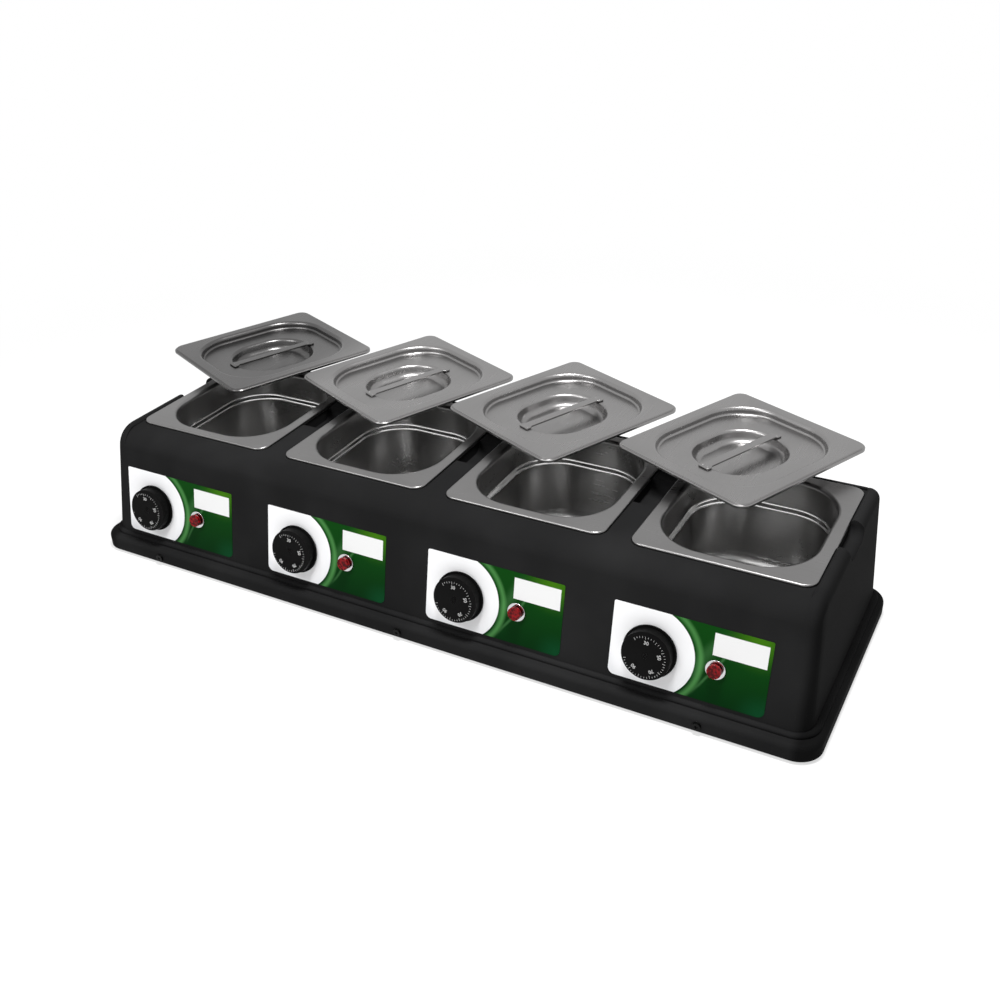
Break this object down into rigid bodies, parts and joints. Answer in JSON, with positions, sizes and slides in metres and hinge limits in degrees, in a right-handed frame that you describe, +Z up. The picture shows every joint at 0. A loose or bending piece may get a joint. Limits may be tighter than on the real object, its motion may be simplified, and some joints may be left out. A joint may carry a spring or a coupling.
{
  "type": "chocolate warmer",
  "caption": "Dry-heated chocolate warmer: a row of small steel pans sunk in a black moulded housing, each with a dial knob, pilot lamp and lid set askew behind it.",
  "frame": {"origin": "on the table, at the centre of the housing's footprint, under the centre foot", "axes": "+X along the row of stations to the right of someone at the controls, +Y to the back, +Z up"},
  "size_m": [0.8168, 0.349, 0.154],
  "materials": {
    "black_plastic": "moulded, satin with fine grain",
    "base_sheet": "black painted sheet steel",
    "rubber": "moulded rubber",
    "screw_steel": "zinc plated",
    "dark_screw": "blackened steel",
    "pan_steel": "drawn stainless steel, satin",
    "lid_steel": "pressed stainless steel, satin",
    "well_aluminium": "pressed aluminium",
    "silicone": "silicone rubber sheet",
    "panel_print": "printed polyester, green with a white dial field",
    "control_plastic": "moulded, light beige",
    "sensor_copper": "copper",
    "chrome": "polished",
    "lamp_red": "clear red, faceted"
  },
  "bodies": {
    "warmer_base": {"housing": "black_plastic", "base_plate": "base_sheet", "rubber_feet": "rubber", "skirt_screws": "dark_screw", "heated_well_1": "well_aluminium", "heated_well_2": "well_aluminium", "heated_well_3": "well_aluminium", "heated_well_4": "well_aluminium", "heating_mat_1": "silicone", "heating_mat_2": "silicone", "heating_mat_3": "silicone", "heating_mat_4": "silicone", "well_screws": "screw_steel", "control_panel_1": "panel_print", "control_panel_2": "panel_print", "control_panel_3": "panel_print", "control_panel_4": "panel_print", "thermostat_1": "control_plastic", "thermostat_2": "control_plastic", "thermostat_3": "control_plastic", "thermostat_4": "control_plastic", "thermostat_screws": "screw_steel", "sensor_1": "sensor_copper", "sensor_2": "sensor_copper", "sensor_3": "sensor_copper", "sensor_4": "sensor_copper", "lamp_bezel_1": "chrome", "lamp_bezel_2": "chrome", "lamp_bezel_3": "chrome", "lamp_bezel_4": "chrome", "lamp_lens_1": "lamp_red", "lamp_lens_2": "lamp_red", "lamp_lens_3": "lamp_red", "lamp_lens_4": "lamp_red", "lamp_nuts": "screw_steel", "terminal_block": "control_plastic", "cord_gland": "black_plastic", "gland_nut": "black_plastic"},
    "knob_body_1": {"knob_1": "black_plastic", "thermostat_shaft_1": "screw_steel"},
    "pan_body_1": {"pan_1": "pan_steel"},
    "lid_body_1": {"lid_1": "lid_steel", "lid_handle_1": "lid_steel"},
    "knob_body_2": {"knob_2": "black_plastic", "thermostat_shaft_2": "screw_steel"},
    "pan_body_2": {"pan_2": "pan_steel"},
    "lid_body_2": {"lid_2": "lid_steel", "lid_handle_2": "lid_steel"},
    "knob_body_3": {"knob_3": "black_plastic", "thermostat_shaft_3": "screw_steel"},
    "pan_body_3": {"pan_3": "pan_steel"},
    "lid_body_3": {"lid_3": "lid_steel", "lid_handle_3": "lid_steel"},
    "knob_body_4": {"knob_4": "black_plastic", "thermostat_shaft_4": "screw_steel"},
    "pan_body_4": {"pan_4": "pan_steel"},
    "lid_body_4": {"lid_4": "lid_steel", "lid_handle_4": "lid_steel"}
  },
  "joints": [
    {"name": "knob_turn_1", "type": "hinge", "parent": "warmer_base", "child": "knob_body_1", "pos_m": [-0.3194, -0.1102, 0.05761], "axis": [0, -0.9808, 0.1951], "range_deg": [-285, 0]},
    {"name": "knob_turn_2", "type": "hinge", "parent": "warmer_base", "child": "knob_body_2", "pos_m": [-0.1336, -0.1102, 0.05761], "axis": [0, -0.9808, 0.1951], "range_deg": [-285, 0]},
    {"name": "knob_turn_3", "type": "hinge", "parent": "warmer_base", "child": "knob_body_3", "pos_m": [0.0522, -0.1102, 0.05761], "axis": [0, -0.9808, 0.1951], "range_deg": [-285, 0]},
    {"name": "knob_turn_4", "type": "hinge", "parent": "warmer_base", "child": "knob_body_4", "pos_m": [0.238, -0.1102, 0.05761], "axis": [0, -0.9808, 0.1951], "range_deg": [-285, 0]},
    {"name": "pan_lift_1", "type": "slide", "parent": "warmer_base", "child": "pan_body_1", "axis": [0, 0, 1], "range_m": [0, 0.011]},
    {"name": "pan_lift_2", "type": "slide", "parent": "warmer_base", "child": "pan_body_2", "axis": [0, 0, 1], "range_m": [0, 0.011]},
    {"name": "pan_lift_3", "type": "slide", "parent": "warmer_base", "child": "pan_body_3", "axis": [0, 0, 1], "range_m": [0, 0.011]},
    {"name": "pan_lift_4", "type": "slide", "parent": "warmer_base", "child": "pan_body_4", "axis": [0, 0, 1], "range_m": [0, 0.12]},
    {"name": "lid_lift_1", "type": "slide", "parent": "pan_body_1", "child": "lid_body_1", "axis": [0, 0, 1], "range_m": [0, 0.12]},
    {"name": "lid_lift_2", "type": "slide", "parent": "pan_body_2", "child": "lid_body_2", "axis": [0, 0, 1], "range_m": [0, 0.12]},
    {"name": "lid_lift_3", "type": "slide", "parent": "pan_body_3", "child": "lid_body_3", "axis": [0, 0, 1], "range_m": [0, 0.12]},
    {"name": "lid_lift_4", "type": "slide", "parent": "pan_body_4", "child": "lid_body_4", "axis": [0, 0, 1], "range_m": [0, 0.12]}
  ]
}
